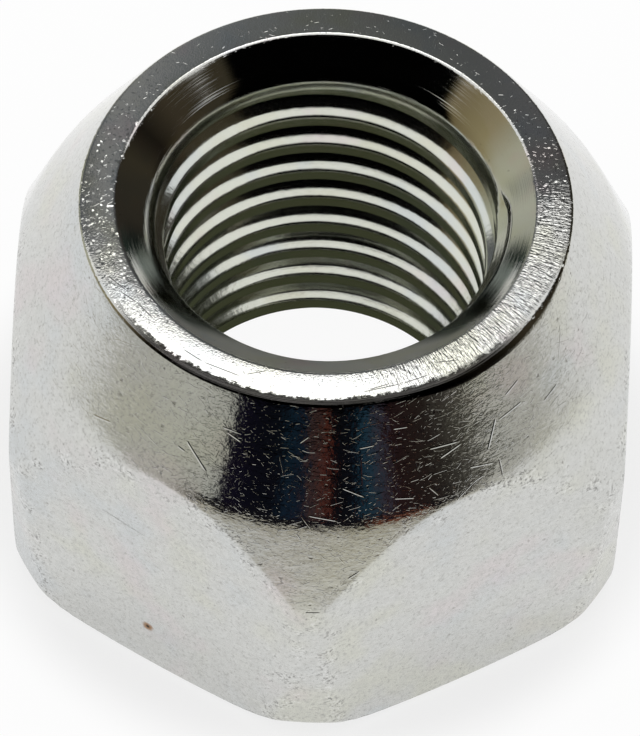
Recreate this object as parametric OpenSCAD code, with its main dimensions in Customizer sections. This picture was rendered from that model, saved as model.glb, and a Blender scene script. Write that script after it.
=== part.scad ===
// Open-ended lug nut with a conical seat, standing on its hex base with the seat cone up.
// One cold-formed and turned steel piece. The bore has the thread's minor diameter.

/* [Hex] */
// Width across the flats of the hex
across_flats = 20.4; // [19.8:0.1:21]
// Height from the base face to the top of the rim
height = 15; // [13.5:0.5:18]
// Diameter across the turned corners, at their top
corner_d = 23.2; // [22.4:0.1:23.6]
// Inward lean of the corners towards the base, in degrees
corner_draft = 3.2; // [1:0.1:4]

/* [Nose] */
// Diameter of the nose at the rim, before the edge is rounded
rim_d = 16.1; // [15.2:0.1:17]
// Fall of the rim face from the countersink outwards, in degrees
rim_slope = 6; // [0:1:10]
// Included angle of the seat cone, in degrees
seat_angle = 60; // [56:1:64]
// Height of the seat cone, from the rim down to the shoulder
seat_h = 3.7; // [3:0.1:4.2]
// Included angle of the shoulder cone between the seat and the corners, in degrees
shoulder_angle = 43; // [38:1:48]

/* [Base] */
// Diameter of the flat base face
base_face_d = 19.5; // [18:0.1:19.8]
// Slope of the base chamfer from the base plane, in degrees
base_chamfer = 18; // [12:1:35]

/* [Thread] */
// Nominal diameter of the stud thread
thread_d = 12; // [11:0.1:12.4]
// Pitch of the stud thread
thread_pitch = 1.5; // [1:0.05:1.75]
// Included angle of the countersink in the rim, in degrees
rim_sink_angle = 104; // [90:1:120]
// Diameter of the countersink in the rim
rim_sink_d = 13.8; // [12.8:0.1:14]
// Diameter of the plain lead-in between the rim countersink and the thread
lead_d = 11.3; // [11:0.1:11.8]
// Depth of the lead-in's end below the rim
lead_depth = 2; // [1.5:0.1:3]
// Included angle of the countersink in the base, in degrees
base_sink_angle = 90; // [80:1:120]
// Diameter of the countersink in the base
base_sink_d = 13.2; // [12.8:0.1:14]

/* [Rounding] */
// Radius of the rim's outer edge
rim_round = 0.2; // [0.1:0.05:0.6]
// Radius that blends the seat into the shoulder
seat_round = 5; // [3:0.5:10]
// Radius that blends the shoulder into the corners
corner_round = 2; // [1:0.1:3]
// Radius at the foot of the corners
foot_round = 0.7; // [0.4:0.1:1]
// Radius at the edge of the base face
face_round = 0.5; // [0.2:0.1:0.8]

/* [Hidden] */
$fn = 120;
steel = [0.78, 0.78, 0.74];
// How far cutting shapes run past the faces they cut
past = 1;
// Largest turn between two points of a rounded edge, in degrees
arc_step = 10;
// Drop from the nominal to the minor diameter, in pitches, for a full internal thread
minor_drop = 0.933;
bore_d = thread_d - minor_drop * thread_pitch;

// Sharp corners of the turned outline, as radius and height
rim_top = [rim_sink_d / 2, height];
rim_edge = rim_top + (rim_d - rim_sink_d) / 2 * [1, -tan(rim_slope)];
seat_end = rim_edge + seat_h * [tan(seat_angle / 2), -1];
corner_top = [
    corner_d / 2,
    seat_end.y - (corner_d / 2 - seat_end.x) / tan(shoulder_angle / 2)
];
face_edge = [base_face_d / 2, 0];
rise = tan(base_chamfer);
lean = tan(corner_draft);
// Radius where the base chamfer meets the leaning corners
foot_r = (corner_top.x - lean * (corner_top.y + rise * face_edge.x)) / (1 - rise * lean);
corner_foot = [foot_r, rise * (foot_r - face_edge.x)];
base_centre = [0, 0];
top_centre = [0, height];

function unit(v) = v / norm(v);

// Points of an arc of radius r that rounds a corner between its two neighbours
function rounded(before, corner, after, r) =
    let (
        u = unit(before - corner),
        v = unit(after - corner),
        half = acos(u * v) / 2,
        centre = corner + unit(u + v) * r / sin(half),
        middle = -unit(u + v),
        side = [-middle.y, middle.x],
        sweep = 90 - half,
        steps = 2 * ceil(sweep / arc_step)
    )
    [for (i = [0 : steps])
        let (turn = sweep * (2 * i / steps - 1))
        centre + r * (cos(turn) * middle + sin(turn) * side)];

// Half section of the turned form: base, corners, shoulder, seat and rim
module turned_outline() {
    polygon(concat(
        [base_centre],
        rounded(base_centre, face_edge, corner_foot, face_round),
        rounded(face_edge, corner_foot, corner_top, foot_round),
        rounded(corner_foot, corner_top, seat_end, corner_round),
        rounded(corner_top, seat_end, rim_edge, seat_round),
        rounded(seat_end, rim_edge, rim_top, rim_round),
        [rim_top, top_centre]
    ));
}

module hex_bar() {
    translate([0, 0, -past])
        rotate(30)
            cylinder(h = height + 2 * past, d = across_flats / cos(30), $fn = 6);
}

// Cone that opens a bore end out to the mouth diameter, pointing down from z = 0
module countersink(mouth_d, angle) {
    slope = tan(angle / 2);
    depth = (mouth_d - bore_d) / 2 / slope;
    translate([0, 0, -depth])
        cylinder(h = depth + past, d1 = bore_d, d2 = mouth_d + 2 * past * slope);
}

module bore() {
    translate([0, 0, -past]) cylinder(h = height + 2 * past, d = bore_d);
    translate([0, 0, height - lead_depth]) cylinder(h = lead_depth + past, d = lead_d);
    translate([0, 0, height]) countersink(rim_sink_d, rim_sink_angle);
    mirror([0, 0, 1]) countersink(base_sink_d, base_sink_angle);
}

module lug_nut() {
    color(steel)
        difference() {
            intersection() {
                hex_bar();
                rotate_extrude() turned_outline();
            }
            bore();
        }
}

lug_nut();
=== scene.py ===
import math
import bmesh
import bpy
from mathutils import Matrix, Vector


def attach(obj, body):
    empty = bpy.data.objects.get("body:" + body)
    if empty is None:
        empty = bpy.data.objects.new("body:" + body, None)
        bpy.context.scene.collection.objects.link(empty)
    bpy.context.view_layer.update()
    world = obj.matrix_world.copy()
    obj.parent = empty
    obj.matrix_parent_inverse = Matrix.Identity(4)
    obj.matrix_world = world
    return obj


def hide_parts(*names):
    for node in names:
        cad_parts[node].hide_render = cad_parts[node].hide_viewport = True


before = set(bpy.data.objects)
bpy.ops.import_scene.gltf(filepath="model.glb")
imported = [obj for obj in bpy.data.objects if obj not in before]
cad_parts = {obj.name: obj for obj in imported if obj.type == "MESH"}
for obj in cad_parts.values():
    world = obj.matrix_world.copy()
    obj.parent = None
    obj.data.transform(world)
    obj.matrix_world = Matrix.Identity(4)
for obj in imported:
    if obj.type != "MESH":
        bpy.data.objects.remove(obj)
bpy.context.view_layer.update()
scene = bpy.context.scene
scene.view_settings.view_transform = "Standard"
mm = 0.001
print("frame loaded")


# Node helpers
def setSocket(tree, socket, value):
    if isinstance(value, bpy.types.NodeSocket):
        tree.links.new(value, socket)
    else:
        socket.default_value = value


def putNode(tree, kind, sockets=None, **settings):
    node = tree.nodes.new(kind)
    for name, value in settings.items():
        setattr(node, name, value)
    for name, value in (sockets or {}).items():
        setSocket(tree, node.inputs[name], value)
    return node


def calc(tree, operation, *values, clamp=False):
    node = putNode(tree, "ShaderNodeMath", dict(enumerate(values)), operation=operation, use_clamp=clamp)
    return node.outputs[0]


def times(tree, first, second):
    return calc(tree, "MULTIPLY", first, second)


def vec(tree, operation, *values, scale=None):
    node = putNode(tree, "ShaderNodeVectorMath", dict(enumerate(values)), operation=operation)
    if scale is not None:
        setSocket(tree, node.inputs["Scale"], scale)
    return node.outputs["Value" if operation in ("DOT_PRODUCT", "LENGTH") else "Vector"]


def split(tree, vector):
    return putNode(tree, "ShaderNodeSeparateXYZ", {0: vector}).outputs


# start below low, end above high, eased between them
def ramp(tree, value, low, high, start=0.0, end=1.0):
    sockets = dict(enumerate((value, low, high, start, end)))
    return putNode(tree, "ShaderNodeMapRange", sockets, interpolation_type="SMOOTHSTEP").outputs[0]


def mixColor(tree, factor, first, second):
    sockets = {0: factor, 6: first, 7: second}
    return putNode(tree, "ShaderNodeMix", sockets, data_type="RGBA").outputs[2]


def noise(tree, place, scale, detail, roughness=0.5):
    sockets = {"Vector": place, "Scale": scale, "Detail": detail, "Roughness": roughness}
    return putNode(tree, "ShaderNodeTexNoise", sockets).outputs


def cellPattern(tree, place, scale):
    return putNode(tree, "ShaderNodeTexVoronoi", {"Vector": place, "Scale": scale}).outputs


def joinAxes(tree, x=0.0, y=0.0, z=0.0):
    return putNode(tree, "ShaderNodeCombineXYZ", {0: x, 1: y, 2: z}).outputs[0]


def newGroup(name, inputs, outputs):
    tree = bpy.data.node_groups.new(name, "ShaderNodeTree")
    for socketName, kind, value in inputs:
        socket = tree.interface.new_socket(socketName, in_out="INPUT", socket_type="NodeSocket" + kind)
        socket.default_value = value
    for socketName, kind in outputs:
        tree.interface.new_socket(socketName, in_out="OUTPUT", socket_type="NodeSocket" + kind)
    return tree, tree.nodes.new("NodeGroupInput").outputs, tree.nodes.new("NodeGroupOutput").inputs


def useGroup(tree, group, sockets=None):
    node = tree.nodes.new("ShaderNodeGroup")
    node.node_tree = group
    for name, value in (sockets or {}).items():
        setSocket(tree, node.inputs[name], value)
    return node.outputs


# Place on the nut in millimetres
def nutPlace(tree):
    coords = putNode(tree, "ShaderNodeTexCoord")
    return vec(tree, "SCALE", coords.outputs["Object"], scale=1 / mm)


def axisRadius(tree, place):
    return vec(tree, "LENGTH", vec(tree, "MULTIPLY", place, (1, 1, 0)))


def surfaceNormal(tree):
    return putNode(tree, "ShaderNodeNewGeometry").outputs["Normal"]


def newMaterial(name):
    material = bpy.data.materials.new(name)
    material.use_nodes = True
    tree = material.node_tree
    return material, tree, tree.nodes["Principled BSDF"]


# Inputs for the scratches laid before, which a scratch group adds its own to
scratchTotals = [("Mask", "Float", 0.0), ("Tilt", "Vector", (0, 0, 0))]


# A groove's mask and sloping walls; side is 0 along its middle and 1 at its edge
def addGroove(tree, given, out, side, across, strength):
    away = calc(tree, "ABSOLUTE", side)
    mask = times(tree, strength, ramp(tree, away, 0.2, 1.0, 1.0, 0.0))
    wall = calc(tree, "SINE", times(tree, side, math.pi))
    wall = times(tree, wall, calc(tree, "LESS_THAN", away, 1.0))
    steep = times(tree, wall, times(tree, strength, given["Depth"]))
    tree.links.new(calc(tree, "MAXIMUM", mask, given["Mask"]), out["Mask"])
    tree.links.new(vec(tree, "ADD", vec(tree, "SCALE", across, scale=steep), given["Tilt"]), out["Tilt"])


# Many short scratches, one in each cell, lying in the surface
def makeScratchField():
    tree, given, out = newGroup(
        "scratchField",
        [
            ("Cell", "Float", 0.5),
            ("Length", "Float", 0.2),
            ("Width", "Float", 0.02),
            ("Depth", "Float", 0.2),
            ("Amount", "Float", 0.7),
            ("Shift", "Float", 0.0),
            ("Lean", "Float", 0.0),
        ] + scratchTotals,
        [("Mask", "Float"), ("Tilt", "Vector")],
    )
    normal = surfaceNormal(tree)
    place = nutPlace(tree)
    bend = noise(tree, place, 1.1, 0.0)
    place = vec(tree, "ADD", place, vec(tree, "SCALE", bend["Color"], scale=0.35))
    place = vec(tree, "ADD", place, given["Shift"])
    cells = cellPattern(tree, place, calc(tree, "DIVIDE", 1.0, given["Cell"]))
    offset = vec(tree, "SUBTRACT", place, cells["Position"])
    chance = split(tree, cells["Color"])
    heading = vec(tree, "SUBTRACT", cells["Color"], (0.5, 0.5, 0.5))
    heading = vec(tree, "ADD", heading, vec(tree, "SCALE", (0, 0, 1), scale=given["Lean"]))
    along = vec(tree, "NORMALIZE", vec(tree, "CROSS_PRODUCT", normal, heading))
    across = vec(tree, "CROSS_PRODUCT", normal, along)
    u = calc(tree, "ABSOLUTE", vec(tree, "DOT_PRODUCT", offset, along))
    v = vec(tree, "DOT_PRODUCT", offset, across)
    spread = calc(tree, "FRACT", times(tree, chance[0], 17.3))
    reach = times(tree, given["Length"], calc(tree, "MULTIPLY_ADD", spread, 0.75, 0.25))
    inLength = ramp(tree, calc(tree, "DIVIDE", u, reach), 0.55, 1.0, 1.0, 0.0)
    dice = calc(tree, "FRACT", times(tree, chance[1], 29.7))
    kept = calc(tree, "LESS_THAN", dice, given["Amount"])
    force = calc(tree, "POWER", calc(tree, "FRACT", times(tree, chance[2], 41.1)), 2.0)
    force = calc(tree, "MULTIPLY_ADD", force, 0.85, 0.15)
    strength = times(tree, times(tree, inLength, kept), force)
    side = calc(tree, "DIVIDE", v, given["Width"])
    addGroove(tree, given, out, side, across, strength)
    return tree


# One scratch between two points on the nut
def makeLoneScratch():
    tree, given, out = newGroup(
        "loneScratch",
        [
            ("Start", "Vector", (0, 0, 0)),
            ("End", "Vector", (1, 0, 0)),
            ("Width", "Float", 0.03),
            ("Depth", "Float", 0.3),
        ] + scratchTotals,
        [("Mask", "Float"), ("Tilt", "Vector")],
    )
    normal = surfaceNormal(tree)
    offset = vec(tree, "SUBTRACT", nutPlace(tree), given["Start"])
    run = vec(tree, "SUBTRACT", given["End"], given["Start"])
    share = calc(tree, "DIVIDE", vec(tree, "DOT_PRODUCT", offset, run), vec(tree, "DOT_PRODUCT", run, run))
    inLength = times(tree, ramp(tree, share, 0.0, 0.12), ramp(tree, share, 0.75, 1.0, 1.0, 0.0))
    across = vec(tree, "NORMALIZE", vec(tree, "CROSS_PRODUCT", normal, run))
    side = calc(tree, "DIVIDE", vec(tree, "DOT_PRODUCT", offset, across), given["Width"])
    # The far side of the nut, past the same line, stays clear
    fromMiddle = vec(tree, "SUBTRACT", offset, vec(tree, "SCALE", run, scale=0.5))
    near = calc(tree, "LESS_THAN", vec(tree, "LENGTH", fromMiddle), 3.0)
    addGroove(tree, given, out, side, across, times(tree, inLength, near))
    return tree


# Thin chromate colours drifting over the zinc
def makeZincTint():
    tree, given, out = newGroup(
        "zincTint",
        [("Base", "Color", (0.7, 0.7, 0.68, 1)), ("Strength", "Float", 0.5), ("Size", "Float", 3.0)],
        [("Color", "Color")],
    )
    place = nutPlace(tree)
    size = calc(tree, "DIVIDE", 1.0, given["Size"])
    drift = noise(tree, place, size, 2.0, 0.55)
    other = noise(tree, vec(tree, "ADD", place, (31.0, 7.0, 19.0)), size, 3.0)
    warm = ramp(tree, drift["Fac"], 0.5, 0.68)
    cool = ramp(tree, drift["Fac"], 0.47, 0.3)
    pink = ramp(tree, other["Fac"], 0.55, 0.72)
    color = mixColor(tree, times(tree, warm, given["Strength"]), given["Base"], (0.62, 0.62, 0.49, 1))
    color = mixColor(tree, times(tree, cool, given["Strength"]), color, (0.55, 0.60, 0.64, 1))
    color = mixColor(tree, times(tree, pink, given["Strength"]), color, (0.67, 0.57, 0.59, 1))
    tree.links.new(color, out["Color"])
    return tree


# Small dark pits and soft mottle in the plating
def makePits():
    tree, given, out = newGroup(
        "pits",
        [
            ("Cell", "Float", 0.6),
            ("Radius", "Float", 0.06),
            ("Amount", "Float", 0.3),
            ("Shift", "Float", 0.0),
        ],
        [("Mask", "Float"), ("Mottle", "Float")],
    )
    place = vec(tree, "ADD", nutPlace(tree), given["Shift"])
    ragged = noise(tree, place, 9.0, 1.0)
    raggedPlace = vec(tree, "ADD", place, vec(tree, "SCALE", ragged["Color"], scale=0.12))
    cells = cellPattern(tree, raggedPlace, calc(tree, "DIVIDE", 1.0, given["Cell"]))
    chance = split(tree, cells["Color"])
    away = times(tree, cells["Distance"], given["Cell"])
    radius = times(tree, given["Radius"], calc(tree, "MULTIPLY_ADD", chance[2], 0.8, 0.3))
    kept = calc(tree, "LESS_THAN", chance[0], given["Amount"])
    dot = ramp(tree, calc(tree, "DIVIDE", away, radius), 0.4, 1.0, 1.0, 0.0)
    tree.links.new(times(tree, dot, kept), out["Mask"])
    mottle = noise(tree, place, 4.5, 5.0, 0.65)
    tree.links.new(mottle["Fac"], out["Mottle"])
    return tree


# Fine lines round the axis left by turning, and strokes across them left by chatter
def makeTurning():
    tree, given, out = newGroup(
        "turning",
        [("Lines", "Float", 14.0), ("Strokes", "Float", 20.0)],
        [("Lines", "Float"), ("Strokes", "Float")],
    )
    place = nutPlace(tree)
    part = split(tree, place)
    flatPlace = joinAxes(tree, x=part[0], y=part[1])
    radius = vec(tree, "LENGTH", flatPlace)
    outward = vec(tree, "NORMALIZE", flatPlace)
    depth = calc(tree, "ADD", radius, times(tree, part[2], 0.73))
    groove = joinAxes(tree, x=times(tree, depth, given["Lines"]))
    groove = vec(tree, "ADD", groove, vec(tree, "SCALE", outward, scale=0.9))
    lines = noise(tree, groove, 1.0, 3.0, 0.7)
    tree.links.new(lines["Fac"], out["Lines"])
    stroke = vec(tree, "SCALE", outward, scale=times(tree, given["Strokes"], 8.0))
    stroke = vec(tree, "ADD", stroke, joinAxes(tree, z=times(tree, depth, 3.0)))
    strokes = noise(tree, stroke, 1.0, 2.0, 0.6)
    tree.links.new(strokes["Fac"], out["Strokes"])
    return tree


scratchField = makeScratchField()
loneScratch = makeLoneScratch()
zincTint = makeZincTint()
pits = makePits()
turning = makeTurning()
print("finish groups made")

# Zinc on the hex flats, cones and base
skinFinish = {
    "base": (0.63, 0.635, 0.615, 1),
    "flatRoughness": 0.27,
    "coneRoughness": 0.07,
    "flatReach": 10.2,  # half of the width across flats
    # radius at the base plane and inward slope of the corner land, shoulder and seat
    "outline": [(11.17, -0.0559), (14.589, 0.3939), (16.641, 0.5774)],
    "rustSpot": (-5.44, -8.64, 2.3),
    # start, end, width and depth of the marks that stand out
    "marks": [
        ((-4.14, -8.24, 12.84), (-3.45, -8.99, 12.14), 0.045, 0.5),
        ((-4.43, -8.27, 12.56), (-4.19, -8.43, 12.5), 0.04, 0.4),
        ((-3.0, -8.21, 13.67), (-2.42, -8.43, 13.64), 0.035, 0.45),
        ((-2.85, -8.33, 13.57), (-2.35, -8.6, 13.38), 0.035, 0.45),
        ((-7.06, -7.7, 7.97), (-5.36, -8.68, 7.68), 0.035, 0.5),
        ((-7.27, -6.64, 11.76), (-6.64, -7.09, 12.0), 0.04, 0.5),
        ((5.76, -7.04, 13.07), (5.55, -7.79, 12.26), 0.045, 0.5),
        ((6.58, -6.31, 13.03), (5.85, -7.04, 12.97), 0.04, 0.4),
        ((6.43, -5.92, 13.68), (6.02, -6.46, 13.52), 0.04, 0.4),
        ((3.64, -8.34, 13.06), (4.66, -7.88, 12.95), 0.04, 0.35),
        ((4.01, -8.42, 12.67), (4.72, -7.9, 12.88), 0.04, 0.35),
        ((5.94, -7.78, 11.87), (6.08, -8.06, 11.26), 0.04, 0.4),
        ((4.99, -8.3, 12.05), (5.8, -7.91, 11.83), 0.035, 0.35),
        ((7.73, -5.26, 12.62), (7.29, -5.95, 12.52), 0.04, 0.4),
        ((0.9, -9.48, 12.32), (1.71, -9.58, 11.96), 0.035, 0.35),
        ((1.42, -8.73, 13.5), (1.93, -8.6, 13.55), 0.03, 0.35),
        ((2.48, -8.22, 13.94), (2.97, -8.08, 13.91), 0.03, 0.35),
        ((-0.16, -10.02, 11.45), (0.85, -10.06, 11.27), 0.03, 0.35),
        ((-0.5, -8.73, 13.67), (-0.19, -8.61, 13.91), 0.03, 0.4),
        ((3.71, -9.03, 11.91), (4.07, -9.11, 11.54), 0.035, 0.4),
        ((2.6, -9.47, 11.81), (3.29, -9.32, 11.69), 0.03, 0.4),
        ((1.21, -10.86, 9.16), (1.6, -10.7, 9.42), 0.04, 0.3),
        ((-0.14, -11.42, 7.9), (0.38, -11.41, 7.92), 0.035, 0.4),
    ],
    # fields of short scratches: cell, length, width, depth, amount, shift and lean
    "scratches": [
        (0.3, 0.18, 0.017, 0.3, 0.7, 0.0, 0.7),
        (0.14, 0.09, 0.014, 0.24, 0.9, 40.0, 0.6),
        (0.45, 0.4, 0.014, 0.32, 0.9, 130.0, 1.2),
        (1.9, 0.7, 0.024, 0.3, 0.4, 90.0, 0.2),
    ],
    "bumpDepth": 0.012 * mm,
}


def addTilts(tree, tilts):
    total = surfaceNormal(tree)
    for tilt in tilts:
        total = vec(tree, "ADD", total, tilt)
    return vec(tree, "NORMALIZE", total)


def named(names, rows):
    return [dict(zip(names, row)) for row in rows]


# Each layer adds to the mask and tilt of those before it
def layScratches(tree, group, layers):
    total = useGroup(tree, group, layers[0])
    for layer in layers[1:]:
        total = useGroup(tree, group, {**layer, "Mask": total["Mask"], "Tilt": total["Tilt"]})
    return total


def makeSkin(finish):
    material, tree, shader = newMaterial("zincSkin")
    place = nutPlace(tree)
    facing = split(tree, surfaceNormal(tree))
    cone = ramp(tree, facing[2], 0.12, 0.4)
    fieldNames = ("Cell", "Length", "Width", "Depth", "Amount", "Shift", "Lean")
    scratches = layScratches(tree, scratchField, named(fieldNames, finish["scratches"]))
    marks = layScratches(tree, loneScratch, named(("Start", "End", "Width", "Depth"), finish["marks"]))
    pit = useGroup(tree, pits, {"Cell": 0.42, "Radius": 0.085, "Amount": 0.4})
    nicks = useGroup(tree, pits, {"Cell": 2.6, "Radius": 0.11, "Amount": 0.35, "Shift": 55.0})
    mottle = pit["Mottle"]
    color = useGroup(tree, zincTint, {"Base": finish["base"], "Strength": 0.4, "Size": 3.4})["Color"]
    grain = ramp(tree, mottle, 0.3, 0.7)
    color = mixColor(tree, times(tree, grain, 0.3), color, (0.47, 0.47, 0.45, 1))
    frost = noise(tree, place, 8.0, 2.0, 0.7)["Fac"]
    color = mixColor(tree, ramp(tree, frost, 0.5, 0.75, 0.0, 0.75), color, (0.4, 0.4, 0.38, 1))

    # Rubbed edge where the flats run out: dark flecks of wear, and light flecks that are painted highlights
    part = split(tree, place)
    across = calc(tree, "ABSOLUTE", part[0])
    for turn in (60, 120):
        direction = (math.cos(math.radians(turn)), math.sin(math.radians(turn)), 0)
        toward = calc(tree, "ABSOLUTE", vec(tree, "DOT_PRODUCT", place, direction))
        across = calc(tree, "MAXIMUM", across, toward)
    reach = 20.0  # more than any part of the outline
    for footRadius, slope in finish["outline"]:
        reach = calc(tree, "MINIMUM", reach, calc(tree, "MULTIPLY_ADD", part[2], -slope, footRadius))
    radius = axisRadius(tree, place)
    inFlat = calc(tree, "SUBTRACT", finish["flatReach"], across)
    inTurned = calc(tree, "SUBTRACT", reach, radius)
    inward = calc(tree, "ADD", inFlat, inTurned)
    edge = calc(tree, "ADD", inward, calc(tree, "MULTIPLY_ADD", mottle, 1.2, -0.6))
    rubbed = ramp(tree, edge, 0.04, 0.3, 1.0, 0.0)
    patches = noise(tree, place, 1.2, 2.0)["Fac"]
    rubbed = times(tree, rubbed, ramp(tree, patches, 0.42, 0.6))
    flecks = times(tree, rubbed, ramp(tree, frost, 0.5, 0.66))
    color = mixColor(tree, times(tree, flecks, 0.8), color, (0.22, 0.215, 0.21, 1))
    # Painted highlights: light flecks on the rubbed edge
    paintedGlints = times(tree, rubbed, ramp(tree, frost, 0.46, 0.36))
    color = mixColor(tree, times(tree, paintedGlints, 0.5), color, (0.8, 0.8, 0.79, 1))
    color = mixColor(tree, times(tree, scratches["Mask"], 0.12), color, (0.45, 0.45, 0.43, 1))
    color = mixColor(tree, times(tree, marks["Mask"], 0.35), color, (0.3, 0.3, 0.28, 1))
    pitted = times(tree, pit["Mask"], ramp(tree, patches, 0.42, 0.62, 0.15, 0.7))
    color = mixColor(tree, pitted, color, (0.28, 0.27, 0.25, 1))
    color = mixColor(tree, times(tree, nicks["Mask"], 0.6), color, (0.16, 0.155, 0.15, 1))

    # Rust dot on the left flat
    spot = vec(tree, "LENGTH", vec(tree, "SUBTRACT", place, finish["rustSpot"]))
    spot = calc(tree, "ADD", spot, calc(tree, "MULTIPLY_ADD", mottle, 0.16, -0.08))
    rust = ramp(tree, spot, 0.1, 0.26, 1.0, 0.0)
    heart = ramp(tree, spot, 0.03, 0.12, 1.0, 0.0)
    color = mixColor(tree, times(tree, rust, 0.85), color, (0.42, 0.21, 0.08, 1))
    color = mixColor(tree, heart, color, (0.035, 0.028, 0.02, 1))
    tree.links.new(color, shader.inputs["Base Color"])
    tree.links.new(calc(tree, "SUBTRACT", 1.0, times(tree, rust, 0.8)), shader.inputs["Metallic"])

    # The cones are smoother than the flats
    ends = {0: cone, 2: finish["flatRoughness"], 3: finish["coneRoughness"]}
    rough = putNode(tree, "ShaderNodeMix", ends, data_type="FLOAT").outputs[0]
    rough = times(tree, rough, calc(tree, "MULTIPLY_ADD", mottle, 0.9, 0.55))
    rough = calc(tree, "ADD", rough, times(tree, scratches["Mask"], 0.03))
    rough = calc(tree, "ADD", rough, times(tree, rust, 0.5), clamp=True)
    tree.links.new(rough, shader.inputs["Roughness"])
    normal = addTilts(tree, [scratches["Tilt"], marks["Tilt"]])
    dents = noise(tree, place, 1.6, 4.0, 0.6)["Fac"]
    height = calc(tree, "SUBTRACT", dents, times(tree, nicks["Mask"], 1.5))
    height = calc(tree, "SUBTRACT", height, times(tree, pit["Mask"], 0.3))
    height = calc(tree, "ADD", height, times(tree, flecks, -0.3))
    ripple = noise(tree, vec(tree, "MULTIPLY", place, (1, 1, 3)), 4.0, 2.0)
    height = calc(tree, "ADD", height, times(tree, ripple["Fac"], 0.25))
    sockets = {"Strength": 1.0, "Distance": finish["bumpDepth"], "Height": height, "Normal": normal}
    tree.links.new(putNode(tree, "ShaderNodeBump", sockets).outputs[0], shader.inputs["Normal"])
    return material


# Turned rim ring, its edges and the countersinks
rimFinish = {
    "base": (0.66, 0.66, 0.63, 1),
    "roughness": 0.07,
    "chatterSide": (0.8, -0.6, 0),
    "grain": 0.3,
    "glint": 0.45,
    # cracks in the ring's face, as paths
    "cracks": [
        [(-4.35, -6.14), (-3.69, -6.6), (-2.41, -7.13)],
        [(-2.3, -7.03), (-1.56, -6.85)],
        [(1.44, -7.52), (2.74, -7.11), (3.58, -6.72)],
        [(1.66, -7.41), (2.34, -7.14)],
        [(3.8, -6.25), (4.48, -6.12)],
        [(-6.48, -3.97), (-5.94, -4.38), (-5.39, -4.99)],
        [(-6.95, -3.34), (-6.31, -3.92)],
    ],
    "crackZ": 14.93,
    "crackWidth": 0.022,
    "crackDepth": 0.4,
    "bumpDepth": 0.012 * mm,
}


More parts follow.
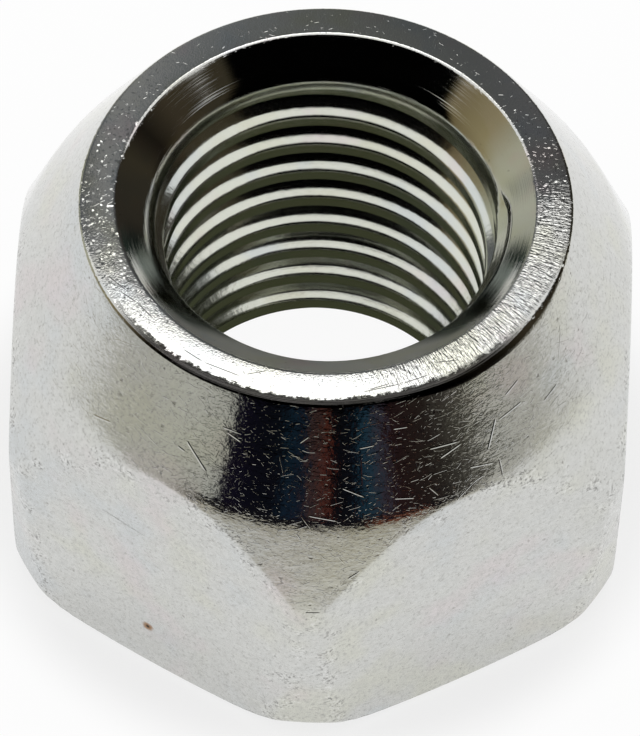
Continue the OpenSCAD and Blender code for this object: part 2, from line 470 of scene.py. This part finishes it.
def makeRim(finish):
    material, tree, shader = newMaterial("turnedRim")
    place = nutPlace(tree)
    part = split(tree, place)
    radius = axisRadius(tree, place)
    outside = ramp(tree, radius, 6.75, 6.95)
    marks = useGroup(tree, turning, {"Lines": 16.0, "Strokes": 13.0})
    grit = calc(tree, "MULTIPLY_ADD", outside, 0.38, 0.02)
    sizes = {"Cell": 0.2, "Length": 0.11, "Width": 0.018}
    fine = useGroup(tree, scratchField, {**sizes, "Depth": grit, "Amount": 0.6, "Shift": 20.0})
    pit = useGroup(tree, pits, {"Cell": 0.3, "Radius": 0.06, "Amount": 0.45, "Shift": 70.0})
    color = useGroup(tree, zincTint, {"Base": finish["base"], "Strength": 0.5, "Size": 2.2})["Color"]
    color = mixColor(tree, times(tree, pit["Mask"], 0.25), color, (0.2, 0.19, 0.17, 1))
    cracks = []
    for path in finish["cracks"]:
        for start, end in zip(path, path[1:]):
            ends = {"Start": start + (finish["crackZ"],), "End": end + (finish["crackZ"],)}
            cracks.append({**ends, "Width": finish["crackWidth"], "Depth": finish["crackDepth"]})
    cracks = layScratches(tree, loneScratch, cracks)
    color = mixColor(tree, times(tree, cracks["Mask"], 0.6), color, (0.15, 0.14, 0.13, 1))

    # Painted shade low in the sink, on both sides of the front
    paintedSinkShade = times(tree, ramp(tree, part[1], -2.2, -0.6, 1.0, 0.0), ramp(tree, part[1], -5.4, -4.6))
    paintedSinkShade = times(tree, paintedSinkShade, ramp(tree, radius, 6.4, 6.75, 0.85, 0.0))
    color = mixColor(tree, paintedSinkShade, color, (0.09, 0.12, 0.1, 1))

    # Painted shade: a dark, ragged line along the outer edge in front
    ragged = calc(tree, "MULTIPLY_ADD", calc(tree, "ADD", marks["Lines"], pit["Mottle"]), 0.45, radius)
    paintedEdgeShade = times(tree, ramp(tree, ragged, 8.25, 8.33), ramp(tree, part[1], -6.0, -4.0, 1.0, 0.0))
    color = mixColor(tree, times(tree, paintedEdgeShade, 0.93), color, (0.025, 0.022, 0.02, 1))
    tree.links.new(color, shader.inputs["Base Color"])
    shader.inputs["Metallic"].default_value = 1.0
    rough = times(tree, finish["roughness"], calc(tree, "MULTIPLY_ADD", pit["Mottle"], 0.9, 0.55))
    rough = times(tree, rough, calc(tree, "MULTIPLY_ADD", outside, 0.6, 0.6))
    dull = times(tree, ramp(tree, part[1], -5.2, -3.8, 0.42, 0.0), calc(tree, "SUBTRACT", 1.0, outside))
    rough = calc(tree, "ADD", rough, dull)
    tree.links.new(rough, shader.inputs["Roughness"])
    facing = split(tree, surfaceNormal(tree))
    onRing = ramp(tree, facing[2], 0.86, 0.97)
    lowSink = ramp(tree, radius, 5.6, 6.2, 1.0, 0.0)
    height = times(tree, marks["Lines"], calc(tree, "MULTIPLY_ADD", lowSink, 0.35, 0.12))
    height = calc(tree, "ADD", height, times(tree, marks["Lines"], times(tree, paintedEdgeShade, 3.0)))
    toChatter = vec(tree, "DOT_PRODUCT", vec(tree, "NORMALIZE", place), finish["chatterSide"])
    chatter = ramp(tree, toChatter, 0.27, 0.44)
    chatter = times(tree, calc(tree, "MULTIPLY_ADD", chatter, 3.6, 0.1), onRing)
    height = calc(tree, "ADD", height, times(tree, marks["Strokes"], chatter))
    grain = noise(tree, place, 17.0, 1.0, 0.6)["Fac"]
    height = calc(tree, "ADD", height, times(tree, grain, times(tree, outside, finish["grain"])))
    height = calc(tree, "SUBTRACT", height, times(tree, pit["Mask"], times(tree, outside, 0.4)))

    # Small crystal faces that glint
    faces = cellPattern(tree, place, 13.0)["Color"]
    chance = split(tree, faces)[2]
    beside = ramp(tree, calc(tree, "ABSOLUTE", part[1]), 2.5, 6.0, 1.0, 0.12)
    glint = times(tree, calc(tree, "POWER", chance, 6.0), times(tree, beside, finish["glint"]))
    glint = times(tree, glint, outside)
    glint = vec(tree, "SCALE", vec(tree, "SUBTRACT", faces, (0.5, 0.5, 0.5)), scale=glint)
    normal = addTilts(tree, [fine["Tilt"], cracks["Tilt"], glint])
    sockets = {"Strength": 1.0, "Distance": finish["bumpDepth"], "Height": height, "Normal": normal}
    tree.links.new(putNode(tree, "ShaderNodeBump", sockets).outputs[0], shader.inputs["Normal"])
    return material


# Cut thread inside the bore
threadFinish = {"base": (0.66, 0.675, 0.60, 1), "roughness": 0.14, "bumpDepth": 0.01 * mm}


def makeThread(finish):
    material, tree, shader = newMaterial("cutThread")
    marks = useGroup(tree, turning, {"Lines": 9.0, "Strokes": 3.0})
    pit = useGroup(tree, pits, {"Cell": 0.8, "Radius": 0.06, "Amount": 0.25, "Shift": 15.0})
    color = useGroup(tree, zincTint, {"Base": finish["base"], "Strength": 0.5, "Size": 2.8})["Color"]
    color = mixColor(tree, times(tree, pit["Mask"], 0.4), color, (0.2, 0.2, 0.17, 1))
    tree.links.new(color, shader.inputs["Base Color"])
    shader.inputs["Metallic"].default_value = 1.0
    rough = times(tree, finish["roughness"], calc(tree, "MULTIPLY_ADD", pit["Mottle"], 0.9, 0.55))
    tree.links.new(rough, shader.inputs["Roughness"])
    height = calc(tree, "ADD", times(tree, marks["Strokes"], 0.4), times(tree, marks["Lines"], 0.2))
    sockets = {"Strength": 1.0, "Distance": finish["bumpDepth"], "Height": height}
    tree.links.new(putNode(tree, "ShaderNodeBump", sockets).outputs[0], shader.inputs["Normal"])
    return material


nutMaterials = [makeSkin(skinFinish), makeRim(rimFinish), makeThread(threadFinish)]
print("materials made")

# Form of the nut, in millimetres and degrees
nutForm = {
    "acrossFlats": 20.4,
    "height": 15.0,
    "cornerD": 23.19,
    "cornerDraft": 3.2,
    "rimD": 16.1,
    "rimSlope": 6.0,
    "seatHalfAngle": 30.0,
    "seatH": 3.7,
    "shoulderHalfAngle": 21.5,
    "baseFaceD": 19.5,
    "baseChamfer": 18.0,
    "rimSinkD": 13.8,
    "rimSinkAngle": 104.0,
    "leadR": 5.6,
    "leadZ": 13.0,
    "leadFall": 2.3,  # how fast the lead-in closes below leadZ
    "sinkBlend": 0.4,
    "baseSinkD": 13.2,
    "baseSinkBlend": 0.02,
    "threadMinorR": 5.3,
    "threadKneeR": 5.62,  # where the flanks turn steeper towards the root
    "threadMajorR": 5.98,
    "pitch": 1.5,
    "flankHalfAngle": 30.0,
    "rootHalfAngle": 43.0,
    "crestHalf": 0.23,
    "crestHeight": 13.72,  # middle of the top crest at the back corner
    "kneeBlend": 0.03,
    "crestBlend": 0.04,
    "rootBlend": 0.05,
    "threadLow": 0.55,
    "threadHigh": 14.7,
    "threadTurns": 11,
    # heights of the rows from a crest's middle up to the next root
    "threadRows": [0.0, 0.12, 0.19, 0.22, 0.245, 0.29, 0.35, 0.39, 0.415, 0.44, 0.5, 0.6, 0.68, 0.72],
    "grooveTop": 14.15,  # the top groove closes here
    "grooveFade": (-0.04, 0.03),
    "edgeBlend": 0.07,
    "footBlend": 0.16,
    "footFade": (0.6, 2.0),  # heights between which the flats' blend changes
    "faceRound": 0.5,
    "footRound": 0.7,
    "cornerRound": 2.0,
    "seatRound": 5.0,
    "rimRound": 0.2,
    "rimReach": 0.4,  # length of seat below the rim's edge that the rim's rounding may use
    "rollRound": 0.7,  # where the rim's edge is rolled over
    "rollFrom": -78.0,
    "rollTo": -8.0,
    "rollFade": 25.0,
    "mouthRound": 0.16,
    "rimCrown": 0.012,
    # degrees from a flat's middle to its corner, and the columns in each stretch
    "columnKeys": (0, 24, 28.6, 30),
    "columnCounts": (9, 8, 3),
    # rows at the foot, up the flat, across its end and up the cones
    "rowCounts": (30, 22, 9, 24),
    "flatEnd": 0.24,  # half length of the stretch across a flat's end
}


def tanDeg(angle):
    return math.tan(math.radians(angle))


# Points of an arc that rounds a corner between its two neighbours
def roundCorner(before, corner, after, radius, steps):
    a = (Vector(before) - Vector(corner)).normalized()
    b = (Vector(after) - Vector(corner)).normalized()
    half = math.acos(max(-1, min(1, a.dot(b)))) / 2
    middle = -(a + b).normalized()
    centre = Vector(corner) - middle * radius / math.sin(half)
    side = Vector((-middle.y, middle.x))
    if side.dot(b) < 0:
        side = -side
    sweep = math.pi / 2 - half
    turns = [sweep * (2 * i / steps - 1) for i in range(steps + 1)]
    return [centre + radius * (math.cos(t) * middle + math.sin(t) * side) for t in turns]


# The smaller of two values, with a rounded change from one to the other
def softMin(a, b, width):
    gap = max(width - abs(a - b), 0)
    return min(a, b) - gap * gap / (4 * width)


def softMax(a, b, width):
    return -softMin(-a, -b, width)


def eased(low, high, value):
    t = max(0, min(1, (value - low) / (high - low)))
    return t * t * (3 - 2 * t)


# Turned form: its side from the base face up, the end of its foot, the rim's edge and the mouth
def turnedOutline(form):
    rimTop = Vector((form["rimSinkD"] / 2, form["height"]))
    ringWidth = (form["rimD"] - form["rimSinkD"]) / 2
    rimEdge = rimTop + ringWidth * Vector((1, -tanDeg(form["rimSlope"])))
    seatEnd = rimEdge + form["seatH"] * Vector((tanDeg(form["seatHalfAngle"]), -1))
    cornerR = form["cornerD"] / 2
    cornerTop = Vector((cornerR, seatEnd.y - (cornerR - seatEnd.x) / tanDeg(form["shoulderHalfAngle"])))
    faceEdge = Vector((form["baseFaceD"] / 2, 0))
    rise, lean = tanDeg(form["baseChamfer"]), tanDeg(form["cornerDraft"])
    footR = (cornerR - lean * (cornerTop.y + rise * faceEdge.x)) / (1 - rise * lean)
    cornerFoot = Vector((footR, rise * (footR - faceEdge.x)))
    side = roundCorner((0, 0), faceEdge, cornerFoot, form["faceRound"], 6)
    side += roundCorner(faceEdge, cornerFoot, cornerTop, form["footRound"], 12)
    footEnd = len(side) - 1
    side += roundCorner(cornerFoot, cornerTop, seatEnd, form["cornerRound"], 16)
    side += roundCorner(cornerTop, seatEnd, rimEdge, form["seatRound"], 12)
    side.append(rimEdge + form["rimReach"] * (seatEnd - rimEdge).normalized())
    sinkFoot = rimTop - Vector((tanDeg(form["rimSinkAngle"] / 2), 1))
    mouth = roundCorner(rimEdge, rimTop, sinkFoot, form["mouthRound"], 5)

    def rim(angle):
        angle = (angle + 180) % 360 - 180
        start, end, fade = form["rollFrom"], form["rollTo"], form["rollFade"]
        roll = eased(start, start + fade, angle) * eased(end, end - fade, angle)
        radius = form["rimRound"] + (form["rollRound"] - form["rimRound"]) * roll
        return roundCorner(seatEnd, rimEdge, rimTop, radius, 10)

    return side, footEnd, rim, mouth


# A function for the point at a distance along the outline, and the distance of each corner
def makeWalker(points):
    marks = [0.0]
    for a, b in zip(points, points[1:]):
        marks.append(marks[-1] + (b - a).length)

    def walk(distance):
        distance = max(0, min(marks[-1], distance))
        low, high = 0, len(marks) - 1
        while high - low > 1:
            middle = (low + high) // 2
            if marks[middle] <= distance:
                low = middle
            else:
                high = middle
        share = (distance - marks[low]) / max(marks[high] - marks[low], 1e-9)
        return points[low].lerp(points[high], share)

    return walk, marks


def spaced(start, end, count):
    return [start + (end - start) * i / count for i in range(count)]


# Even steps from key to key, with a count for each stretch
def spacedKeys(keys, counts):
    places = []
    for start, end, count in zip(keys, keys[1:], counts):
        places += spaced(start, end, count)
    return places + [keys[-1]]


# Angle of each column and its distance in degrees from the middle of its flat
def columnAngles(form):
    steps = spacedKeys(form["columnKeys"], form["columnCounts"])
    angles = []
    for flat in range(6):
        middle = 120 + 60 * flat
        angles += [(middle - s, s) for s in reversed(steps[1:])] + [(middle + s, s) for s in steps[:-1]]
    return angles


# Distances of the rows up one column, close together at the foot and where a flat ends
def columnRows(form, reach, marks, points, footEnd):
    peak = max(range(len(points)), key=lambda i: points[i].x)
    cross = marks[peak]
    for i in range(peak, len(points) - 1):
        here, after = points[i].x, points[i + 1].x
        if here > reach >= after:
            cross = marks[i] + (marks[i + 1] - marks[i]) * (reach - here) / (after - here)
    keys = [0, marks[footEnd], cross - form["flatEnd"], cross + form["flatEnd"], marks[-1]]
    return spacedKeys(keys, form["rowCounts"])


# Radius of the thread at a height from the middle of a crest
def threadReach(form, away):
    minor, knee = form["threadMinorR"], form["threadKneeR"]
    flankSlope = tanDeg(form["flankHalfAngle"])
    beside = abs(away) - form["crestHalf"]
    flank = minor + beside / flankSlope
    root = knee + (beside - (knee - minor) * flankSlope) / tanDeg(form["rootHalfAngle"])
    reach = softMax(softMin(flank, root, form["kneeBlend"]), minor, form["crestBlend"])
    return softMin(reach, form["threadMajorR"], form["rootBlend"])


def makeNut(form):
    side, footEnd, rim, mouth = turnedOutline(form)
    walk, marks = makeWalker(side)
    columns = columnAngles(form)
    count = len(columns)
    skinFace, turnedFace, threadFace = range(len(nutMaterials))
    bm = bmesh.new()

    def put(angle, radius, z):
        a = math.radians(angle)
        return bm.verts.new((radius * math.cos(a) * mm, radius * math.sin(a) * mm, z * mm))

    def ring(radius, z):
        return [put(angle, radius, z) for angle, _ in columns]

    # Rows of points, each with the material of the faces between it and the row before
    rows = []
    baseSinkR = form["baseSinkD"] / 2
    baseMouth = roundCorner((baseSinkR - 1, 1), (baseSinkR, 0), (baseSinkR + 1, 0), form["mouthRound"], 4)
    for point in baseMouth:
        rows.append((ring(point.x, point.y), turnedFace))
    for radius in spaced(baseMouth[-1].x, side[0].x, 6)[1:]:
        rows.append((ring(radius, 0), skinFace))

    # Hex flats cut into the turned outside
    columnPoints = []
    for angle, theta in columns:
        reach = form["acrossFlats"] / 2 / math.cos(math.radians(theta))
        line = []
        for distance in columnRows(form, reach, marks, side, footEnd):
            point = walk(distance)
            above = eased(*form["footFade"], point.y)
            width = form["footBlend"] + (form["edgeBlend"] - form["footBlend"]) * above
            line.append(put(angle, softMin(point.x, reach, width), point.y))
        columnPoints.append(line)
    for index in range(len(columnPoints[0])):
        rows.append(([line[index] for line in columnPoints], skinFace))

    # Rim ring and countersink
    rims = [rim(angle) for angle, _ in columns]
    for index in range(len(rims[0])):
        row = [put(angle, points[index].x, points[index].y) for (angle, _), points in zip(columns, rims)]
        rows.append((row, turnedFace if index else skinFace))
    for share in (0.1, 0.25, 0.4, 0.55, 0.7, 0.85):
        crown = form["rimCrown"] * 4 * share * (1 - share)
        row = []
        for (angle, _), points in zip(columns, rims):
            point = points[-1].lerp(mouth[0], share)
            row.append(put(angle, point.x, point.y + crown))
        rows.append((row, turnedFace))
    for point in mouth:
        rows.append((ring(point.x, point.y), turnedFace))
    sinkSlope = tanDeg(form["rimSinkAngle"] / 2)
    sinkLow = form["rimSinkD"] / 2 - (form["height"] - form["threadHigh"]) * sinkSlope
    for share in (0.25, 0.5, 0.75):
        point = mouth[-1].lerp(Vector((sinkLow, form["threadHigh"])), share)
        rows.append((ring(point.x, point.y), turnedFace))
    topRing = ring(sinkLow, form["threadHigh"])
    rows.append((topRing, turnedFace))
    lowRing = ring(baseSinkR - form["threadLow"], form["threadLow"])

    def join(corners, material):
        loop = []
        for corner in corners:
            if corner not in loop:
                loop.append(corner)
        if len(loop) > 2:
            face = bm.faces.new(loop)
            face.material_index = material
            face.smooth = True

    for (lower, _), (upper, material) in zip(rows, rows[1:]):
        for c in range(count):
            d = (c + 1) % count
            join((lower[c], lower[d], upper[d], upper[c]), material)

    # Right-hand thread, in rows that climb one pitch in each turn
    pitch, low, high = form["pitch"], form["threadLow"], form["threadHigh"]
    steps = form["threadRows"]
    offsets = [pitch / 2] + steps[:0:-1] + [-s for s in steps]
    perTurn = len(offsets)
    grid = []
    turned = set(topRing) | set(lowRing)
    for turn in range(-1, form["threadTurns"]):
        for offset in offsets:
            level = form["crestHeight"] - turn * pitch + offset
            line = []
            for c, (angle, _) in enumerate(columns):
                z = level + pitch * (angle - columns[0][0]) / 360
                if z >= high:
                    line.append(topRing[c])
                elif z <= low:
                    line.append(lowRing[c])
                else:
                    sink = max(form["rimSinkD"] / 2 - (form["height"] - z) * sinkSlope, baseSinkR - z)
                    leadIn = form["leadR"] + min(z - form["leadZ"], 0) * form["leadFall"]
                    # The top groove stops short of the rim
                    rise = z - offset + math.copysign(pitch / 2, offset) - form["grooveTop"]
                    closed = eased(*form["grooveFade"], rise)
                    groove = threadReach(form, offset) * (1 - closed) + form["threadMinorR"] * closed
                    groove = softMax(groove, leadIn, form["kneeBlend"])
                    blend = form["sinkBlend"] if z > form["height"] / 2 else form["baseSinkBlend"]
                    vertex = put(angle, softMax(groove, sink, blend), z)
                    if sink > groove:
                        turned.add(vertex)
                    line.append(vertex)
            grid.append(line)
    last = count - 1
    for j in range(len(grid) - 1):
        upper, lower = grid[j], grid[j + 1]
        for c in range(last):
            corners = (upper[c], upper[c + 1], lower[c + 1], lower[c])
            join(corners, turnedFace if turned.issuperset(corners) else threadFace)
        # The last column meets the first one, a turn higher up
        corners = (upper[last], grid[max(j - perTurn, 0)][0], grid[max(j + 1 - perTurn, 0)][0], lower[last])
        join(corners, turnedFace if turned.issuperset(corners) else threadFace)

    # Base countersink closes the form
    sinkRows = [lowRing]
    for share in (0.35, 0.7):
        point = Vector((baseSinkR - low, low)).lerp(baseMouth[0], share)
        sinkRows.append(ring(point.x, point.y))
    sinkRows.append(rows[0][0])
    for upper, lower in zip(sinkRows, sinkRows[1:]):
        for c in range(count):
            d = (c + 1) % count
            join((upper[c], upper[d], lower[d], lower[c]), turnedFace)

    loose = [v for v in bm.verts if not v.link_faces]
    bmesh.ops.delete(bm, geom=loose, context="VERTS")
    openEdges = sum(1 for e in bm.edges if len(e.link_faces) != 2)
    mesh = bpy.data.meshes.new("lugNut")
    bm.to_mesh(mesh)
    bm.free()
    for material in nutMaterials:
        mesh.materials.append(material)
    nut = bpy.data.objects.new("lugNut", mesh)
    scene.collection.objects.link(nut)
    triangles = sum(len(p.vertices) - 2 for p in mesh.polygons)
    print("lug nut made:", triangles, "triangles,", openEdges, "open edges")
    return nut


lugNut = makeNut(nutForm)
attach(lugNut, "root")
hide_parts("lug_nut")

# Studio: white floor, soft light overhead and dim walls that the metal mirrors, in metres
studio = {
    "floorSize": 3.0,
    "floorWhite": 0.95,
    "floorGlow": 0.94,
    "poolCentre": (-15.0, 45.0, 0.0),  # in millimetres, as the floor's zones are
    "wallR": 0.5,
    "wallHigh": 68.0,  # in degrees above the floor
    "wallRows": 24,
    "wallColumns": 120,
    "ambient": 0.75,
    "boxPlace": (0, 0.1, 0.36),
    "boxSize": (0.2, 0.15),
    "boxPower": 0.13,
}


def stageMaterial(name):
    material, tree, _ = newMaterial(name)
    tree.nodes.clear()
    return material, tree


def showSurface(tree, shader):
    out = putNode(tree, "ShaderNodeOutputMaterial", {"Surface": shader.outputs[0]})
    out.is_active_output = True


# 1 for rays that see a surface, 0 for those that light one
def seenRay(tree):
    path = putNode(tree, "ShaderNodeLightPath").outputs
    seen = calc(tree, "MAXIMUM", path["Is Camera Ray"], path["Is Glossy Ray"])
    return calc(tree, "MAXIMUM", seen, path["Is Transmission Ray"])


def makeFloor(setup):
    half = setup["floorSize"] / 2
    mesh = bpy.data.meshes.new("floor")
    corners = [(-half, -half, 0), (half, -half, 0), (half, half, 0), (-half, half, 0)]
    mesh.from_pydata(corners, [], [(0, 1, 2, 3)])
    floor = bpy.data.objects.new("floor", mesh)
    scene.collection.objects.link(floor)
    material, tree = stageMaterial("paleFloor")
    place = nutPlace(tree)
    part = split(tree, place)

    # Painted light and shade that the metal mirrors: a pool of light, and duller and dark zones in front
    far = ramp(tree, vec(tree, "LENGTH", vec(tree, "SUBTRACT", place, setup["poolCentre"])), 60.0, 170.0)
    shade = mixColor(tree, far, (1, 1, 1, 1), (0.56, 0.55, 0.5, 1))
    around = calc(tree, "ARCTAN2", part[0], times(tree, part[1], -1.0))
    front = ramp(tree, calc(tree, "ABSOLUTE", calc(tree, "SUBTRACT", around, 0.09)), 0.62, 0.9, 1.0, 0.0)
    dull = times(tree, front, ramp(tree, part[1], -75.0, -20.0, 1.0, 0.0))
    shade = mixColor(tree, dull, shade, (0.46, 0.43, 0.35, 1))
    dark = times(tree, front, ramp(tree, part[1], -92.0, -75.0, 1.0, 0.0))
    shade = mixColor(tree, dark, shade, (0.008, 0.007, 0.01, 1))
    # Painted reflection: a red-brown patch in front that the metal mirrors
    paintedRedReflection = ramp(tree, calc(tree, "ABSOLUTE", calc(tree, "SUBTRACT", around, 0.43)), 0.1, 0.2, 1.0, 0.0)
    paintedRedReflection = times(tree, paintedRedReflection, ramp(tree, part[1], -160.0, -130.0))
    paintedRedReflection = times(tree, paintedRedReflection, ramp(tree, part[1], -92.0, -80.0, 1.0, 0.0))
    shade = mixColor(tree, paintedRedReflection, shade, (0.17, 0.06, 0.035, 1))

    # Painted shade: the bore's own floor is dim to the thread that mirrors it, where the nut's shadow falls
    inBore = ramp(tree, vec(tree, "LENGTH", place), 6.0, 7.5, 1.0, 0.0)
    inBore = times(tree, inBore, putNode(tree, "ShaderNodeLightPath").outputs["Is Glossy Ray"])
    shade = mixColor(tree, inBore, shade, (0.055, 0.06, 0.035, 1))
    camera = putNode(tree, "ShaderNodeLightPath").outputs["Is Camera Ray"]
    shade = mixColor(tree, camera, shade, (1, 1, 1, 1))
    glow = putNode(tree, "ShaderNodeEmission", {"Color": shade, "Strength": 1.0})
    paper = putNode(tree, "ShaderNodeBsdfDiffuse", {"Color": (setup["floorWhite"],) * 3 + (1,)})

    # Close to the nut the paper's own shade shows
    radius = axisRadius(tree, place)
    inside = ramp(tree, radius, 8.0, 9.0, 1.0, 0.0)
    near = calc(tree, "MAXIMUM", ramp(tree, radius, 11.0, 13.5, 0.75, 1.0), inside)
    share = ramp(tree, camera, 0.0, 1.0, 1.0, setup["floorGlow"])
    share = times(tree, times(tree, seenRay(tree), share), near)
    mix = putNode(tree, "ShaderNodeMixShader", {0: share, 1: paper.outputs[0], 2: glow.outputs[0]})
    showSurface(tree, mix)
    mesh.materials.append(material)
    return floor


def setRamp(node, stops):
    elements = node.color_ramp.elements
    while len(elements) > 1:
        elements.remove(elements[-1])
    elements[0].position, elements[0].color = stops[0][0], stops[0][1] + (1,)
    for position, color in stops[1:]:
        elements.new(position).color = color + (1,)


def makeWalls(setup):
    bm = bmesh.new()
    rowCount, columnCount = setup["wallRows"], setup["wallColumns"]
    rings = []
    for row in range(rowCount + 1):
        level = math.radians(setup["wallHigh"] * row / rowCount)
        radius, z = setup["wallR"] * math.cos(level), setup["wallR"] * math.sin(level)
        turns = [2 * math.pi * c / columnCount for c in range(columnCount)]
        rings.append([bm.verts.new((radius * math.cos(t), radius * math.sin(t), z)) for t in turns])
    for lower, upper in zip(rings, rings[1:]):
        for c in range(columnCount):
            d = (c + 1) % columnCount
            bm.faces.new((lower[d], lower[c], upper[c], upper[d]))
    mesh = bpy.data.meshes.new("dimWalls")
    bm.to_mesh(mesh)
    bm.free()
    walls = bpy.data.objects.new("dimWalls", mesh)
    scene.collection.objects.link(walls)
    material, tree = stageMaterial("dimWalls")
    place = putNode(tree, "ShaderNodeTexCoord").outputs["Object"]
    part = split(tree, place)
    around = calc(tree, "ARCTAN2", part[0], times(tree, part[1], -1.0))
    around = calc(tree, "MULTIPLY_ADD", around, 0.5 / math.pi, 0.5)  # 0.5 is the camera's side
    level = calc(tree, "ARCSINE", calc(tree, "DIVIDE", part[2], setup["wallR"]))
    level = times(tree, level, 180 / math.pi)
    # Painted reflections: tones round the room near the floor, which the cone mirrors, and above, for the
    # rim and bore
    low = putNode(tree, "ShaderNodeValToRGB", {0: around})
    setRamp(low, [
        (0.0, (0.02, 0.03, 0.025)), (0.16, (0.03, 0.042, 0.036)), (0.2, (0.57, 0.57, 0.5)),
        (0.38, (0.58, 0.58, 0.52)), (0.414, (0.5, 0.5, 0.45)),
        (0.422, (0.008, 0.006, 0.016)), (0.445, (0.005, 0.005, 0.01)), (0.465, (0.005, 0.006, 0.01)),
        (0.474, (0.008, 0.02, 0.036)), (0.488, (0.008, 0.014, 0.028)), (0.4945, (0.05, 0.031, 0.032)),
        (0.506, (0.065, 0.031, 0.028)), (0.51, (0.12, 0.026, 0.014)), (0.514, (0.005, 0.005, 0.007)),
        (0.536, (0.005, 0.006, 0.01)), (0.541, (0.013, 0.042, 0.07)), (0.553, (0.024, 0.042, 0.066)),
        (0.556, (0.042, 0.042, 0.06)), (0.563, (0.04, 0.035, 0.05)), (0.567, (0.022, 0.01, 0.011)),
        (0.6, (0.022, 0.016, 0.014)), (0.64, (0.07, 0.066, 0.055)), (0.7, (0.2, 0.195, 0.165)),
        (0.8, (0.18, 0.17, 0.14)), (0.84, (0.012, 0.02, 0.016)), (1.0, (0.02, 0.03, 0.025)),
    ])
    high = putNode(tree, "ShaderNodeValToRGB", {0: around})
    setRamp(high, [
        (0.0, (0.12, 0.125, 0.12)), (0.026, (0.16, 0.17, 0.18)), (0.045, (0.25, 0.255, 0.26)),
        (0.08, (0.3, 0.3, 0.28)), (0.15, (0.5, 0.51, 0.42)), (0.2, (0.48, 0.48, 0.38)),
        (0.24, (0.33, 0.28, 0.17)), (0.3, (0.2, 0.16, 0.09)),
        (0.313, (0.0005, 0.0005, 0.0005)), (0.658, (0.0005, 0.0005, 0.0005)), (0.668, (0.045, 0.038, 0.024)),
        (0.75, (0.05, 0.04, 0.025)), (0.79, (0.012, 0.01, 0.007)), (0.82, (0.04, 0.034, 0.022)),
        (0.88, (0.03, 0.026, 0.02)), (0.94, (0.08, 0.08, 0.085)), (0.955, (0.12, 0.12, 0.125)),
        (0.975, (0.09, 0.095, 0.1)), (1.0, (0.12, 0.125, 0.12)),
    ])
    color = mixColor(tree, ramp(tree, level, 6.0, 9.0), low.outputs[0], high.outputs[0])
    upper = times(tree, ramp(tree, level, 16.0, 25.0), ramp(tree, around, 0.16, 0.19, 1.0, 0.0))
    upper = times(tree, upper, ramp(tree, around, 0.055, 0.075))
    color = mixColor(tree, upper, color, (0.12, 0.125, 0.135, 1))

    # Painted reflection of a broad straight-edged light overhead
    u = calc(tree, "ABSOLUTE", calc(tree, "DIVIDE", part[0], part[2]))
    v = calc(tree, "DIVIDE", part[1], part[2])
    back = times(tree, calc(tree, "MAXIMUM", calc(tree, "SUBTRACT", u, 0.3), 0.0), 0.15)
    light = ramp(tree, calc(tree, "SUBTRACT", v, back), 0.52, 0.6, 1.0, 0.0)
    front = calc(tree, "MULTIPLY_ADD", u, -0.25, v)
    light = times(tree, light, ramp(tree, front, -0.6, -0.52))
    aside = calc(tree, "MULTIPLY_ADD", v, -0.55, u)
    light = times(tree, light, ramp(tree, aside, 1.08, 1.24, 1.0, 0.0))
    color = mixColor(tree, light, color, (1, 1, 1, 1))
    glow = putNode(tree, "ShaderNodeEmission", {"Color": color, "Strength": 1.0})
    showSurface(tree, glow)
    mesh.materials.append(material)
    # The walls glow but light nothing: only glossy rays see them
    for ray in ("camera", "diffuse", "transmission", "shadow", "volume_scatter"):
        setattr(walls, "visible_" + ray, False)
    return walls


def makeLight(setup):
    world = bpy.data.worlds.new("studioWorld")
    scene.world = world
    world.use_nodes = True
    tree = world.node_tree
    tree.nodes.clear()
    fill = setup["ambient"]
    color = mixColor(tree, seenRay(tree), (fill, fill, fill, 1), (1, 1, 1, 1))
    sky = putNode(tree, "ShaderNodeBackground", {"Color": color, "Strength": 1.0})
    putNode(tree, "ShaderNodeOutputWorld", {"Surface": sky.outputs[0]})
    lamp = bpy.data.lights.new("softBox", "AREA")
    lamp.shape = "RECTANGLE"
    lamp.size, lamp.size_y = setup["boxSize"]
    lamp.energy = setup["boxPower"]
    box = bpy.data.objects.new("softBox", lamp)
    box.location = setup["boxPlace"]
    scene.collection.objects.link(box)
    return box


makeFloor(studio)
makeWalls(studio)
makeLight(studio)
print("studio made")

# Camera at the photograph's angle, in millimetres, degrees and the photograph's pixels
cameraSetup = {
    "azimuth": 0.93,
    "elevation": 54.73,
    "distance": 214.96,
    "roll": 1.57,
    "target": (0, 0, 7.40),
    "targetPixel": (322.6, 334.5),
    "focalPixels": 6400.0,
    "imageSize": (640, 736),
}


def makeCamera(setup):
    a, e, roll = (math.radians(setup[k]) for k in ("azimuth", "elevation", "roll"))
    back = Vector((math.sin(a) * math.cos(e), -math.cos(a) * math.cos(e), math.sin(e)))
    right = Vector((math.cos(a), math.sin(a), 0))
    up = back.cross(right)
    right, up = right * math.cos(roll) + up * math.sin(roll), up * math.cos(roll) - right * math.sin(roll)
    target = Vector(setup["target"])
    place = target + back * setup["distance"]
    width, height = setup["imageSize"]
    perPixel = setup["distance"] / setup["focalPixels"]
    pixelX, pixelY = setup["targetPixel"]
    aim = target - right * (pixelX - width / 2) * perPixel - up * (height / 2 - pixelY) * perPixel
    back = (place - aim).normalized()
    right = up.cross(back).normalized()
    up = back.cross(right)
    data = bpy.data.cameras.new("photoCamera")
    data.sensor_width = 36.0
    data.lens = setup["focalPixels"] / height * data.sensor_width
    data.clip_start, data.clip_end = 0.01, 10
    camera = bpy.data.objects.new("photoCamera", data)
    turn = Matrix((right, up, back)).transposed()
    camera.matrix_world = Matrix.Translation(place * mm) @ turn.to_4x4()
    scene.collection.objects.link(camera)
    scene.camera = camera
    return camera


makeCamera(cameraSetup)
print("camera made")
